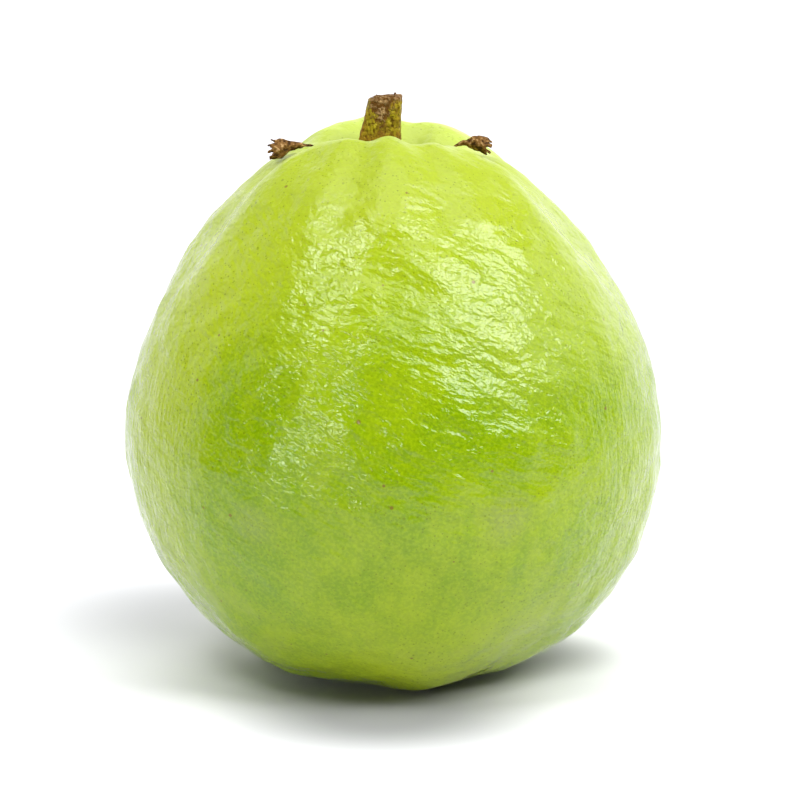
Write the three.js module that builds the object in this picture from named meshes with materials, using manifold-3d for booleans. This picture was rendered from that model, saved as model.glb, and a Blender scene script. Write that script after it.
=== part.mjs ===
// A whole guava, standing on its blossom end with its stem up.
// Millimetres, +Z up. The origin is on the surface that the fruit stands on, under the middle of its outline.
// A bearing is an angle round the fruit's upright axis: 0 is the front (-Y), 90 the right (+X), 180 the back.
// A station is a place along the skin from the eye at the blossom end, 0, to the foot of the stem, 1.

import * as THREE from "three";
import { mergeVertices } from "three/addons/utils/BufferGeometryUtils.js";
import Module from "manifold-3d";

const wasm = await Module();
wasm.setup();

// ---------- driving dimensions ----------

// Half the fruit's section: [radius, height] from the middle of the eye, over the foot, the belly and the
// shoulder, down into the hollow round the stem.
const SECTION = [
  [0, 5.4],
  [3, 5.4],
  [7, 4.8],
  [10.5, 2.8],
  [13.5, 0.7],
  [17.5, 0.4],
  [25, 3.0],
  [34, 10.0],
  [41.9, 21],
  [46.5, 33],
  [47.8, 44],
  [45.5, 56],
  [40.7, 67.5],
  [33.8, 78.5],
  [26.9, 87.2],
  [20.5, 92.8],
  [15.2, 95.2],
  [11.2, 94.4],
  [8, 91.6],
  [4, 90.2],
  [0, 90.2],
];

// The fruit's mesh: rings from the eye to the stem's foot, and points round each.
const RINGS = 50;
const SEGMENTS = 88;

// The skin's folds, as bearing and width in degrees: ridges are high, furrows are low. A fold swings from its
// bearing at the top end to its bearing plus its turn at the low end, and stands between two stations.
const FOLDS = [
  // down from the hollow's rim
  { bearing: 53, turn: 8, width: 9, height: 1.1, low: 0.5, high: 0.97 },
  { bearing: 36, turn: 2, width: 11, height: 0.35, low: 0.66, high: 0.98 },
  { bearing: 20, turn: 4, width: 7, height: -0.55, low: 0.68, high: 0.99 },
  { bearing: 2, turn: -2, width: 8, height: 0.8, low: 0.7, high: 0.99 },
  { bearing: -13, turn: -4, width: 7, height: -0.5, low: 0.74, high: 0.99 },
  { bearing: -30, turn: 0, width: 10, height: 0.5, low: 0.6, high: 0.98 },
  { bearing: -41, turn: 4, width: 8, height: -0.4, low: 0.52, high: 0.9 },
  { bearing: -54, turn: -14, width: 9, height: 0.8, low: 0.5, high: 0.97 },
  { bearing: -74, turn: -4, width: 10, height: -0.8, low: 0.62, high: 0.99 },
  { bearing: -98, turn: 3, width: 11, height: 0.6, low: 0.55, high: 0.98 },
  { bearing: -122, turn: 5, width: 9, height: -0.6, low: 0.6, high: 0.99 },
  { bearing: -142, turn: -4, width: 12, height: 0.8, low: 0.5, high: 0.98 },
  { bearing: -160, turn: 3, width: 8, height: -0.6, low: 0.62, high: 0.99 },
  { bearing: -175, turn: 5, width: 10, height: 0.8, low: 0.52, high: 0.98 },
  { bearing: 160, turn: 2, width: 8, height: -0.5, low: 0.66, high: 0.99 },
  { bearing: 136, turn: 4, width: 10, height: 0.7, low: 0.56, high: 0.98 },
  { bearing: 112, turn: -3, width: 9, height: -0.7, low: 0.6, high: 0.99 },
  { bearing: 90, turn: 2, width: 9, height: 0.5, low: 0.58, high: 0.98 },
  { bearing: 72, turn: 3, width: 7, height: -0.5, low: 0.6, high: 0.99 },
  // up from the eye
  { bearing: 80, turn: 0, width: 28, height: 1.3, low: 0.04, high: 0.44 },
  { bearing: 44, turn: 0, width: 9, height: -0.5, low: 0.04, high: 0.4 },
  { bearing: -20, turn: 0, width: 10, height: -0.35, low: 0.03, high: 0.34 },
  { bearing: -50, turn: 0, width: 12, height: 0.4, low: 0.03, high: 0.42 },
  { bearing: -78, turn: 0, width: 10, height: -0.35, low: 0.04, high: 0.36 },
  { bearing: -140, turn: 0, width: 11, height: -0.4, low: 0.04, high: 0.34 },
  { bearing: -170, turn: 0, width: 13, height: 0.4, low: 0.03, high: 0.4 },
  { bearing: 168, turn: 0, width: 9, height: -0.3, low: 0.04, high: 0.34 },
  { bearing: 112, turn: 0, width: 10, height: -0.4, low: 0.04, high: 0.36 },
  // the three that the fruit stands on
  { bearing: 12, turn: 0, width: 13, height: 1.35, low: 0.02, high: 0.36 },
  { bearing: -108, turn: 0, width: 14, height: 1.3, low: 0.02, high: 0.36 },
  { bearing: 138, turn: 0, width: 13, height: 1.65, low: 0.02, high: 0.36 },
];

// How far the shoulder stands over the section, and the foot off the ground, at evenly spaced bearings from
// the front round by the right. Each grows, stays, fades and is gone at its four stations.
const SHOULDER = { stations: [0.66, 0.88, 0.94, 1], rises: [1.2, 0.3, -2.6, 0.7, 2.8, 0.4, -2.6, 0.1] };
const FOOT = { stations: [0.02, 0.1, 0.14, 0.32], rises: [0.2, 1.2, 2.2, 0.5, 0.4, 0.2, 0.2, 0.2] };

// How far the top is to the right of the belly, and the heights between which the fruit leans over.
const LEAN = { x: -0.9, from: 60, to: 95 };

const GROUND = 0;
const GAP = 0.3;
const WELD = 1e-4;

// The stem's sections from the hollow's floor to the cut: height above the floor, place and half widths.
const STEM = [
  { height: -0.6, x: -2.1, y: 0, across: 3.9, deep: 3.7 },
  { height: 0.8, x: -2.1, y: 0, across: 3.9, deep: 3.6 },
  { height: 2.6, x: -2.4, y: 0, across: 4.0, deep: 3.4 },
  { height: 4.4, x: -2.4, y: 0, across: 3.8, deep: 3.2 },
  { height: 6.4, x: -2.3, y: 0, across: 3.4, deep: 3.1 },
  { height: 8.6, x: -2.1, y: 0.1, across: 3.2, deep: 3.0 },
  { height: 10.8, x: -1.95, y: 0.2, across: 3.1, deep: 3.0 },
  { height: 12.6, x: -1.75, y: 0.3, across: 3.0, deep: 3.0 },
];
const STEM_SQUARENESS = 2.7;
const STEM_SEGMENTS = 28;

// The stem's cut: its slope, its roughness and the depth of the chip off its left edge.
const CUT = { slope: 0.2, roughness: 0.35, chip: 1.1, chipFrom: 0.45 };

// The rings of the cut's face, from its edge inwards: share of the section, depth and share of the slope.
const CUT_FACE = [
  { spread: 1, sink: 0, slope: 1 },
  { spread: 0.7, sink: 0.1, slope: 0.9 },
  { spread: 0.35, sink: 0.5, slope: 0.8 },
  { spread: 0, sink: 0.6, slope: 0 },
];

// The two flower buds that dried up beside the fruit. Each stalk leaves the stem's foot, lies over the rim of
// the hollow and ends in a crown. The bearing is the stalk's at its root, and swing is how far it turns on its
// way to the crown's station. The crown has its own radius, lift off the skin and number of teeth.
const BUDS = [
  { name: "bud_left", bearing: -91, swing: 5, station: 0.866, radius: 1.8, lift: 2.1, teeth: 5, seed: 7 },
  { name: "bud_right", bearing: 88, swing: -8, station: 0.889, radius: 1.75, lift: 1.8, teeth: 4, seed: 23 },
];
const STALK = { radius: 0.7, lift: 1.1, station: 0.955, opensFrom: 0.4, opensTo: 0.9, bends: 6 };
const BUD_CROWN = { toothLength: 1.5, cup: 1.2, rings: 16, segments: 20 };

// The dried sepals of the flower, left at the middle of the eye. The flare's power makes its sides hollow out.
const CALYX = { radius: 6.4, neck: 3.4, length: 1.98, flare: 0.8, seed: 4 };
const CALYX_CROWN = { teeth: 5, toothLength: 2, cup: 0.9, rings: 5, segments: 50 };

// What the crowns share: how pointed and uneven their teeth are, how wavy their walls are and from which share
// of their route, and the rings of the cup inside them, as shares of the mouth, the cup and the walls' waves.
const TOOTH = { power: 0.8, middle: 0.5, unevenness: 0.25, wander: 0.3 };
const WALL = { waviness: 0.14, from: 0.6 };
const CUP_RINGS = [
  { spread: 0.82, sink: 0, wall: 1 },
  { spread: 0.62, sink: 0.55, wall: 0.4 },
  { spread: 0.34, sink: 1, wall: 0 },
  { spread: 0, sink: 1, wall: 0 },
];

// ---------- helpers ----------

const radians = THREE.MathUtils.degToRad;
const { smoothstep, lerp } = THREE.MathUtils;

/** A closed mesh through rings of points. The first and the last ring are each drawn in to one point. */
function loft(rings) {
  const count = rings[0].length;
  const positions = [];
  const put = (...points) => points.forEach((p) => positions.push(p.x, p.y, p.z));
  const middle = (ring) => ring.reduce((sum, p) => sum.add(p), new THREE.Vector3()).divideScalar(count);
  const first = middle(rings[0]);
  const last = middle(rings.at(-1));
  for (let i = 0; i < count; i++) {
    const j = (i + 1) % count;
    put(first, rings[1][j], rings[1][i]);
    for (let k = 1; k < rings.length - 2; k++) {
      put(rings[k][i], rings[k][j], rings[k + 1][j]);
      put(rings[k][i], rings[k + 1][j], rings[k + 1][i]);
    }
    put(rings.at(-2)[i], rings.at(-2)[j], last);
  }
  const geometry = new THREE.BufferGeometry();
  geometry.setAttribute("position", new THREE.Float32BufferAttribute(positions, 3));
  return mergeVertices(geometry, WELD);
}

function solidOf(geometry) {
  const vertProperties = new Float32Array(geometry.attributes.position.array);
  const triVerts = new Uint32Array(geometry.index.array);
  return new wasm.Manifold(new wasm.Mesh({ numProp: 3, vertProperties, triVerts }));
}

/** The largest body of a solid, as a geometry: loose scraps left by a cut are dropped. */
function geometryOf(solid) {
  const body = solid.decompose().reduce((a, b) => (a.volume() > b.volume() ? a : b));
  const mesh = body.getMesh();
  const geometry = new THREE.BufferGeometry();
  geometry.setAttribute("position", new THREE.BufferAttribute(mesh.vertProperties, 3));
  geometry.setIndex(new THREE.BufferAttribute(mesh.triVerts, 1));
  return geometry;
}

// ---------- the fruit ----------

const sectionCurve = new THREE.SplineCurve(SECTION.map(([r, z]) => new THREE.Vector2(r, z)));

/** The least turn between two bearings, in degrees. */
function turnBetween(a, b) {
  return Math.abs(THREE.MathUtils.euclideanModulo(a - b + 180, 360) - 180);
}

/** A share from 0 to 1 and back, eased, over a stretch of stations. */
function stretch(station, low, high) {
  const ease = (high - low) / 3;
  return smoothstep(station, low, low + ease) * (1 - smoothstep(station, high - ease, high));
}

/** How far the skin's folds stand out of the section. */
function foldHeight(bearing, station) {
  let total = 0;
  for (const { bearing: top, turn, width, height, low, high } of FOLDS) {
    const middle = top + turn * (1 - (station - low) / (high - low));
    total += height * stretch(station, low, high) * Math.exp(-((turnBetween(bearing, middle) / width) ** 2));
  }
  return total;
}

/** The rise of the shoulder or the foot at a place, eased from each of its bearings to the next. */
function riseAt({ stations: [start, full, fading, gone], rises }, bearing, station) {
  const place = THREE.MathUtils.euclideanModulo(bearing, 360) / (360 / rises.length);
  const k = Math.floor(place) % rises.length;
  const rise = lerp(rises[k], rises[(k + 1) % rises.length], smoothstep(place - k, 0, 1));
  return rise * smoothstep(station, start, full) * (1 - smoothstep(station, fading, gone));
}

function skinPoint(bearing, station) {
  const p = sectionCurve.getPointAt(station);
  const t = sectionCurve.getTangentAt(station);
  const fold = foldHeight(bearing, station);
  const radius = p.x + fold * t.y;
  const height = p.y - fold * t.x + riseAt(SHOULDER, bearing, station) + riseAt(FOOT, bearing, station);
  const x = radius * Math.sin(radians(bearing)) + LEAN.x * smoothstep(height, LEAN.from, LEAN.to);
  const y = -radius * Math.cos(radians(bearing));
  return new THREE.Vector3(x, y, height);
}

/** The skin's outward direction, from its slopes over a small step of station and of bearing. */
function skinNormal(bearing, station) {
  const step = 0.002;
  const turn = 0.5;
  if (station < step) return new THREE.Vector3(0, 0, -1);
  if (station > 1 - step) return new THREE.Vector3(0, 0, 1);
  const up = skinPoint(bearing, station + step).sub(skinPoint(bearing, station - step));
  const around = skinPoint(bearing + turn, station).sub(skinPoint(bearing - turn, station));
  return around.cross(up).normalize();
}

/** A point this far off the skin. */
function offSkin(bearing, station, lift) {
  return skinPoint(bearing, station).addScaledVector(skinNormal(bearing, station), lift);
}

/** The fruit, with its skin moved out by lift and cut off flat where it stands. */
function fruitGeometry(lift = 0) {
  const rings = [];
  for (let k = 0; k <= RINGS; k++) {
    const ring = [];
    for (let i = 0; i < SEGMENTS; i++) {
      const p = offSkin((360 * i) / SEGMENTS, k / RINGS, lift);
      p.z = Math.max(p.z, GROUND - lift);
      ring.push(p);
    }
    rings.push(ring);
  }
  return loft(rings);
}

/** The fruit's solid with the clearance that its neighbours keep from it. */
const clearFruit = solidOf(fruitGeometry(GAP));

// ---------- the stem ----------

/** A point of the stem's rounded square section, as shares of its half widths. */
function roundedSquare(angle) {
  const [c, s] = [Math.cos(angle), Math.sin(angle)];
  const reach = (Math.abs(c) ** STEM_SQUARENESS + Math.abs(s) ** STEM_SQUARENESS) ** (-1 / STEM_SQUARENESS);
  return new THREE.Vector2(c * reach, s * reach);
}

/** A smooth repeatable roughness between -1 and 1 at an angle round a piece: four waves, each weaker. */
function roughness(angle, seed) {
  const waves = [3, 5, 8, 11];
  const phase = 1.7;
  const most = 2.1;
  return waves.reduce((sum, n, k) => sum + Math.sin(n * angle + seed * (k + phase)) / (k + 1), 0) / most;
}

/** The stem, with its skin moved out by grow. */
function stemGeometry(grow = 0) {
  const floor = SECTION.at(-1)[1];
  const ring = ({ height, x, y, across, deep }, rise, spread, slope) => {
    const points = [];
    for (let i = 0; i < STEM_SEGMENTS; i++) {
      const angle = (2 * Math.PI * i) / STEM_SEGMENTS;
      const p = roundedSquare(angle);
      const chip = CUT.chip * smoothstep(-p.x * spread, CUT.chipFrom, 1);
      const rough = CUT.roughness * roughness(angle, 3);
      const sloped = slope * (CUT.slope * p.x * across * spread - chip + rough);
      points.push(new THREE.Vector3(
        x + p.x * (across + grow) * spread,
        y + p.y * (deep + grow) * spread,
        floor + height + rise + sloped,
      ));
    }
    return points;
  };
  const [foot, ...sides] = STEM.slice(0, -1);
  const rings = [ring(foot, -grow, 0, 0), ring(foot, -grow, 1, 0)];
  for (const section of sides) rings.push(ring(section, 0, 1, 0));
  const top = STEM.at(-1);
  for (const { spread, sink, slope } of CUT_FACE) rings.push(ring(top, grow - sink, spread, slope));
  return loft(rings);
}

// ---------- the dried buds and the calyx ----------

/**
 * A dried flower's stalk and crown, round a route. radiusAt gives the radius at a share of the route. The last
 * ring's edge is drawn out into teeth, and the inside of the crown is a cup this deep.
 */
function crownGeometry({ route, radiusAt, rings, segments, teeth, toothLength, cup, seed }) {
  const section = (share, radius, sink, wall) => {
    const middle = route.getPointAt(share);
    const along = route.getTangentAt(share);
    const u = new THREE.Vector3(0, 1, 0).addScaledVector(along, -along.y).normalize();
    const v = along.clone().cross(u);
    const points = [];
    for (let i = 0; i < segments; i++) {
      const angle = (2 * Math.PI * i) / segments;
      const spread = radius * (1 + wall * WALL.waviness * roughness(angle, seed + 1));
      const tooth = Math.abs(Math.cos((teeth * angle) / 2 + TOOTH.wander * roughness(angle, seed)));
      const reach = tooth ** TOOTH.power - TOOTH.middle + TOOTH.unevenness * roughness(angle, seed + 2);
      points.push(middle.clone()
        .addScaledVector(u, spread * Math.cos(angle))
        .addScaledVector(v, spread * Math.sin(angle))
        .addScaledVector(along, wall * toothLength * reach - sink));
    }
    return points;
  };
  const sections = [section(0, 0, 0, 0)];
  for (let k = 0; k <= rings; k++) {
    const share = k / rings;
    sections.push(section(share, radiusAt(share), 0, smoothstep(share, WALL.from, 1)));
  }
  const mouth = radiusAt(1);
  for (const { spread, sink, wall } of CUP_RINGS) sections.push(section(1, mouth * spread, cup * sink, wall));
  return loft(sections);
}

/** A dried bud: its stalk leaves the stem's foot, goes over the hollow's rim and ends in a toothed crown. */
function budGeometry({ bearing, swing, station: tip, radius, lift, teeth, seed }) {
  const opened = (share) => smoothstep(share, STALK.opensFrom, STALK.opensTo);
  const route = [];
  for (let bend = 0; bend <= STALK.bends; bend++) {
    const share = bend / STALK.bends;
    const station = lerp(STALK.station, tip, share);
    route.push(offSkin(bearing + swing * share, station, lerp(STALK.lift, lift, opened(share))));
  }
  return crownGeometry({
    ...BUD_CROWN,
    route: new THREE.CatmullRomCurve3(route),
    radiusAt: (share) => lerp(STALK.radius, radius, opened(share)),
    teeth,
    seed,
  });
}

/** The calyx, in the eye of the fruit, pointing down. */
function calyxGeometry() {
  const { radius, neck, length, flare, seed } = CALYX;
  const roof = SECTION[0][1] - GAP;
  return crownGeometry({
    ...CALYX_CROWN,
    route: new THREE.LineCurve3(new THREE.Vector3(0, 0, roof), new THREE.Vector3(0, 0, roof - length)),
    radiusAt: (share) => lerp(neck, radius, share ** flare),
    seed,
  });
}

// ---------- the guava ----------

const SKIN = new THREE.MeshStandardMaterial({ color: 0x9cc62a, roughness: 0.35, metalness: 0 });
const BARK = new THREE.MeshStandardMaterial({ color: 0x97902b, roughness: 0.7, metalness: 0 });
const DRIED = new THREE.MeshStandardMaterial({ color: 0x6b452b, roughness: 0.85, metalness: 0 });

const guava = new THREE.Group();

function add(name, geometry, material) {
  const mesh = new THREE.Mesh(geometry, material.clone());
  mesh.name = name;
  guava.add(mesh);
}

add("fruit", fruitGeometry(), SKIN);
add("stem", geometryOf(solidOf(stemGeometry()).subtract(clearFruit)), BARK);
const clearStem = solidOf(stemGeometry(GAP));
for (const bud of BUDS) {
  add(bud.name, geometryOf(solidOf(budGeometry(bud)).subtract(clearFruit).subtract(clearStem)), DRIED);
}
add("calyx", geometryOf(solidOf(calyxGeometry()).subtract(clearFruit)), DRIED);

// The middle of the whole outline goes over the origin.
const middle = new THREE.Box3().setFromObject(guava).getCenter(new THREE.Vector3());
for (const mesh of guava.children) mesh.geometry.translate(-middle.x, -middle.y, 0);

export default guava;
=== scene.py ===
"""A whole green guava with its stem stub, its dried side buds and its calyx, on a pale floor.

Everything is in metres. The fruit stands on the floor at Z = 0 with its stem up, and its front faces -Y.
"""

import logging
import math
import random
from collections.abc import Callable
from dataclasses import asdict, dataclass, field
from enum import Enum

import bpy
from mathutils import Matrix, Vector
from mathutils.noise import fractal


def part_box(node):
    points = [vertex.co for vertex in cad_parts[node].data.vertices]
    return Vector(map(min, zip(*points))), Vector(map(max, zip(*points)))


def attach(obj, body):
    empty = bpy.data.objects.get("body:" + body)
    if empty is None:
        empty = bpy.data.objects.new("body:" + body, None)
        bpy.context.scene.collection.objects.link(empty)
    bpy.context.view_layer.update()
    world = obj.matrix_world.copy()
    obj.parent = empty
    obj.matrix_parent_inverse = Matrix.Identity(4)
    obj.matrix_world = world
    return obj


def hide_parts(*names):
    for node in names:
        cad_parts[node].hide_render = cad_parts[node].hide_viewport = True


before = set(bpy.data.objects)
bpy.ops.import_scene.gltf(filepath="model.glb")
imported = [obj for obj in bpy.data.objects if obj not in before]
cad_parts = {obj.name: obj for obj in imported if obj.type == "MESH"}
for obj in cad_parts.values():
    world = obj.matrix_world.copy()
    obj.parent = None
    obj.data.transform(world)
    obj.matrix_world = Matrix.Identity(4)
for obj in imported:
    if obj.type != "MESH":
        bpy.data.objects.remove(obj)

MM = 0.001
ROOT = "root"
DOWN = Vector((0, 0, -1))
log = logging.getLogger("guava")

Piece = bpy.types.Object
Socket = bpy.types.NodeSocket
Pair = tuple[float, float]
Point = tuple[float, float, float]
Colour = tuple[float, float, float, float]
Value = Socket | float | Point | Colour
# An ease: where it starts, where it ends, its level at the start and its level at the end.
Ramp = tuple[float, float, float, float]


def mm(*values: float) -> tuple[float, ...]:
    """Turn millimetres into metres."""
    return tuple(value * MM for value in values)


class Lump(Enum):
    """The kinds of uneven surface that a relief can have."""

    SOFT = "BLENDER_ORIGINAL"
    CREASED = "VORONOI_F2_F1"


@dataclass(frozen=True)
class Relief:
    """An uneven surface that is pressed into a mesh."""

    spacing: float
    depth: float
    lump: Lump = Lump.SOFT
    stretch: Point = (1.0, 1.0, 1.0)
    shift: Point = (0.0, 0.0, 0.0)


# ---------- modelling by hand ----------


def deselect() -> None:
    """Clear the selection, which the loaded frame leaves full."""
    for thing in bpy.context.selected_objects:
        thing.select_set(False)


def only(piece: Piece) -> None:
    """Select one piece and make it the active one.

    Args:
        piece: the piece to work on.
    """
    deselect()
    piece.select_set(True)
    bpy.context.view_layer.objects.active = piece


def settle(piece: Piece) -> None:
    """Put a piece's place, turn and scale into its mesh."""
    only(piece)
    bpy.ops.object.transform_apply(location=True, rotation=True, scale=True)


def edit(on: bool) -> None:
    """Go into edit mode, or leave it."""
    bpy.ops.object.mode_set(mode="EDIT" if on else "OBJECT")


def pick_faces(piece: Piece, wanted: Callable[[bpy.types.MeshPolygon], bool]) -> bool:
    """Select the faces that pass a test, and leave the piece in edit mode.

    Args:
        piece: the piece in edit mode.
        wanted: says whether a face is picked.

    Returns:
        Whether any face was picked.
    """
    bpy.ops.mesh.select_mode(type="FACE")
    bpy.ops.mesh.select_all(action="DESELECT")
    edit(False)
    for face in piece.data.polygons:
        face.select = wanted(face)
    found = any(face.select for face in piece.data.polygons)
    edit(True)
    return found


def within(angle: float, middle: float, half: float) -> bool:
    """Say whether an angle is less than half a width from a middle, the short way round."""
    return abs((angle - middle + math.pi) % (2 * math.pi) - math.pi) < half


def extrude(step: Vector) -> None:
    """Draw the picked faces out by a step."""
    bpy.ops.mesh.extrude_region_move(TRANSFORM_OT_translate={"value": tuple(step)})


def inset(thickness: float) -> None:
    """Draw the picked faces in from their edge."""
    bpy.ops.mesh.inset(thickness=thickness)


def swell(factor: float, centre: Vector) -> None:
    """Scale what is picked about a point."""
    bpy.ops.transform.resize(value=(factor, factor, factor), center_override=tuple(centre))


def tip(angle: float, centre: Vector) -> None:
    """Turn what is picked right-handed about +Y. With no window the operator turns the other way round."""
    bpy.ops.transform.rotate(value=-angle, orient_axis="Y", center_override=tuple(centre))


def apply_modifier(piece: Piece, name: str) -> None:
    """Make a modifier's result the piece's own mesh."""
    only(piece)
    bpy.ops.object.modifier_apply(modifier=name)


def subdivide(piece: Piece, levels: int) -> None:
    """Round a piece off by subdivision.

    Args:
        piece: the piece to round.
        levels: how many times each face is cut in four.
    """
    modifier = piece.modifiers.new("rounding", "SUBSURF")
    modifier.levels = levels
    modifier.render_levels = levels
    apply_modifier(piece, modifier.name)


def press(piece: Piece, relief: Relief) -> None:
    """Press a relief into a piece along its normals.

    Args:
        piece: the piece to work.
        relief: the relief to press in.
    """
    deselect()
    bpy.ops.object.empty_add(location=relief.shift)
    guide = bpy.context.object
    guide.scale = relief.stretch
    texture = bpy.data.textures.new("relief", "CLOUDS")
    texture.noise_basis = relief.lump.value
    texture.noise_scale = relief.spacing
    texture.noise_depth = 1
    modifier = piece.modifiers.new("relief", "DISPLACE")
    modifier.texture = texture
    modifier.texture_coords = "OBJECT"
    modifier.texture_coords_object = guide
    modifier.strength = relief.depth
    modifier.mid_level = 0.5
    bpy.context.view_layer.update()
    apply_modifier(piece, modifier.name)
    bpy.data.objects.remove(guide)
    bpy.data.textures.remove(texture)


def soften(piece: Piece, angle: float = math.radians(60)) -> None:
    """Shade a piece smooth, apart from edges sharper than an angle."""
    only(piece)
    bpy.ops.object.shade_smooth_by_angle(angle=angle)


def join(pieces: list[Piece], name: str) -> Piece:
    """Join pieces in one.

    Args:
        pieces: the pieces, the first of which takes in the others.
        name: the name of the result.

    Returns:
        The joined piece.
    """
    only(pieces[0])
    for piece in pieces[1:]:
        piece.select_set(True)
    bpy.ops.object.join()
    pieces[0].name = name
    pieces[0].data.name = name
    return pieces[0]


# ---------- shader nodes ----------


@dataclass
class Sheet:
    """A node tree that is wired by short calls."""

    tree: bpy.types.NodeTree

    def add(self, kind: str, **settings: object) -> bpy.types.Node:
        """Add a node and set its options.

        Args:
            kind: the node's type name, without its ShaderNode prefix.
            settings: the node's own options.

        Returns:
            The new node.
        """
        node = self.tree.nodes.new("ShaderNode" + kind)
        for name, value in settings.items():
            setattr(node, name, value)
        return node

    def feed(self, socket: Socket, value: Value) -> None:
        """Give a socket a link if the value is a socket, or else the value itself.

        Args:
            socket: the input to fill.
            value: what goes into it.
        """
        if isinstance(value, Socket):
            self.tree.links.new(value, socket)
        else:
            socket.default_value = value

    def reckon(self, kind: str, operation: str, values: tuple[Value, ...]) -> bpy.types.Node:
        """Add a node that does a sum, and feed its inputs in order.

        Args:
            kind: Math or VectorMath.
            operation: the sum that it does.
            values: what it is done on.

        Returns:
            The node.
        """
        node = self.add(kind, operation=operation)
        for socket, value in zip(node.inputs, values):
            self.feed(socket, value)
        return node

    def maths(self, operation: str, *values: Value) -> Socket:
        """Do a sum on numbers and return its socket."""
        return self.reckon("Math", operation, values).outputs[0]

    def vector(self, operation: str, *values: Value) -> Socket:
        """Do a sum on vectors and return its socket."""
        return self.reckon("VectorMath", operation, values).outputs["Vector"]

    def distance(self, place: Socket, point: Point) -> Socket:
        """Measure how far a place is from a point."""
        return self.reckon("VectorMath", "DISTANCE", (place, point)).outputs["Value"]

    def product(self, first: Value, *others: Value) -> Value:
        """Multiply numbers.

        Args:
            first: the first number or socket.
            others: the others.

        Returns:
            The product's socket.
        """
        for other in others:
            first = self.maths("MULTIPLY", first, other)
        return first

    def scaled(self, value: Value, factor: Value, base: Value) -> Socket:
        """Multiply a number and add another to it."""
        return self.maths("MULTIPLY_ADD", value, factor, base)

    def split(self, vector: Socket) -> tuple[Socket, ...]:
        """Split a vector into its X, Y and Z.

        Args:
            vector: the vector's socket.

        Returns:
            The three sockets.
        """
        node = self.add("SeparateXYZ")
        self.feed(node.inputs[0], vector)
        return tuple(node.outputs)

    def ease(
        self, value: Value, low: Value, high: Value, at_low: float = 0.0, at_high: float = 1.0
    ) -> Socket:
        """Ease a value from one level to another between two limits.

        Args:
            value: the value that is eased.
            low: where the ease starts.
            high: where the ease ends.
            at_low: the level at and below low.
            at_high: the level at and above high.

        Returns:
            The result's socket.
        """
        node = self.add("MapRange", interpolation_type="SMOOTHSTEP")
        inputs = {"Value": value, "From Min": low, "From Max": high, "To Min": at_low, "To Max": at_high}
        for name, item in inputs.items():
            self.feed(node.inputs[name], item)
        return node.outputs["Result"]

    def blend(self, share: Value, first: Value, second: Value) -> Socket:
        """Blend two colours.

        Args:
            share: how much of the second colour there is.
            first: the first colour or its socket.
            second: the second colour or its socket.

        Returns:
            The blended colour's socket.
        """
        node = self.add("Mix", data_type="RGBA", blend_type="MIX", clamp_factor=True)
        self.feed(node.inputs["Factor"], share)
        self.feed(node.inputs[6], first)
        self.feed(node.inputs[7], second)
        return node.outputs[2]

    def noise(self, place: Socket, size: Socket, detail: Value, roughness: float = 0.5) -> bpy.types.Node:
        """Add a noise of a real size.

        Args:
            place: the coordinates that it lies in.
            size: the size of its forms.
            detail: how many finer layers it has.
            roughness: how strong those are.

        Returns:
            The noise's node.
        """
        node = self.add("TexNoise")
        self.feed(node.inputs["Vector"], place)
        self.feed(node.inputs["Scale"], self.maths("DIVIDE", 1.0, size))
        self.feed(node.inputs["Detail"], detail)
        self.feed(node.inputs["Roughness"], roughness)
        return node


def new_group(name: str, inputs: dict[str, float], output: str) -> tuple[Sheet, dict[str, Socket], Socket]:
    """Start a shader node group that reads a Vector and puts out one value.

    Args:
        name: the group's name.
        inputs: each other input's name and default.
        output: the output's name.

    Returns:
        The group's sheet, the sockets of what it is given by name, and the socket of its result.
    """
    tree = bpy.data.node_groups.new(name, "ShaderNodeTree")
    tree.interface.new_socket(name="Vector", in_out="INPUT", socket_type="NodeSocketVector")
    for key, default in inputs.items():
        socket = tree.interface.new_socket(name=key, in_out="INPUT", socket_type="NodeSocketFloat")
        socket.default_value = default
    tree.interface.new_socket(name=output, in_out="OUTPUT", socket_type="NodeSocketFloat")
    given = tree.nodes.new("NodeGroupInput").outputs
    result = tree.nodes.new("NodeGroupOutput").inputs[output]
    return Sheet(tree), {key: given[key] for key in ("Vector", *inputs)}, result


def mottle_group() -> bpy.types.NodeTree:
    """Make soft uneven patches.

    Returns:
        A group with Vector, Size in metres, Start, Full and Detail, which puts out a Mask from 0 to 1.
    """
    inputs = {"Size": 0.005, "Start": 0.35, "Full": 0.65, "Detail": 2.0}
    sheet, given, result = new_group("Mottle", inputs, "Mask")
    noise = sheet.noise(given["Vector"], given["Size"], given["Detail"])
    sheet.feed(result, sheet.ease(noise.outputs[0], given["Start"], given["Full"]))
    return sheet.tree


def fleck_group() -> bpy.types.NodeTree:
    """Make scattered round flecks of uneven size.

    Returns:
        A group with Vector, Spacing in metres, Radius as a share of it and Present as a share of places. It
        puts out a Mask from 0 to 1.
    """
    inputs = {"Spacing": 0.004, "Radius": 0.12, "Present": 0.5}
    sheet, given, result = new_group("Flecks", inputs, "Mask")
    cells = sheet.add("TexVoronoi")
    sheet.feed(cells.inputs["Vector"], given["Vector"])
    sheet.feed(cells.inputs["Scale"], sheet.maths("DIVIDE", 1.0, given["Spacing"]))
    chance = sheet.add("SeparateColor")
    sheet.feed(chance.inputs[0], cells.outputs["Color"])
    smallest = 0.5
    edge = (0.55, 1.1, 1.0, 0.0)
    reach = sheet.product(given["Radius"], sheet.maths("ADD", chance.outputs[0], smallest))
    inside = sheet.ease(sheet.maths("DIVIDE", cells.outputs["Distance"], reach), *edge)
    present = sheet.maths("LESS_THAN", chance.outputs[1], given["Present"])
    sheet.feed(result, sheet.product(inside, present))
    return sheet.tree


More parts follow.
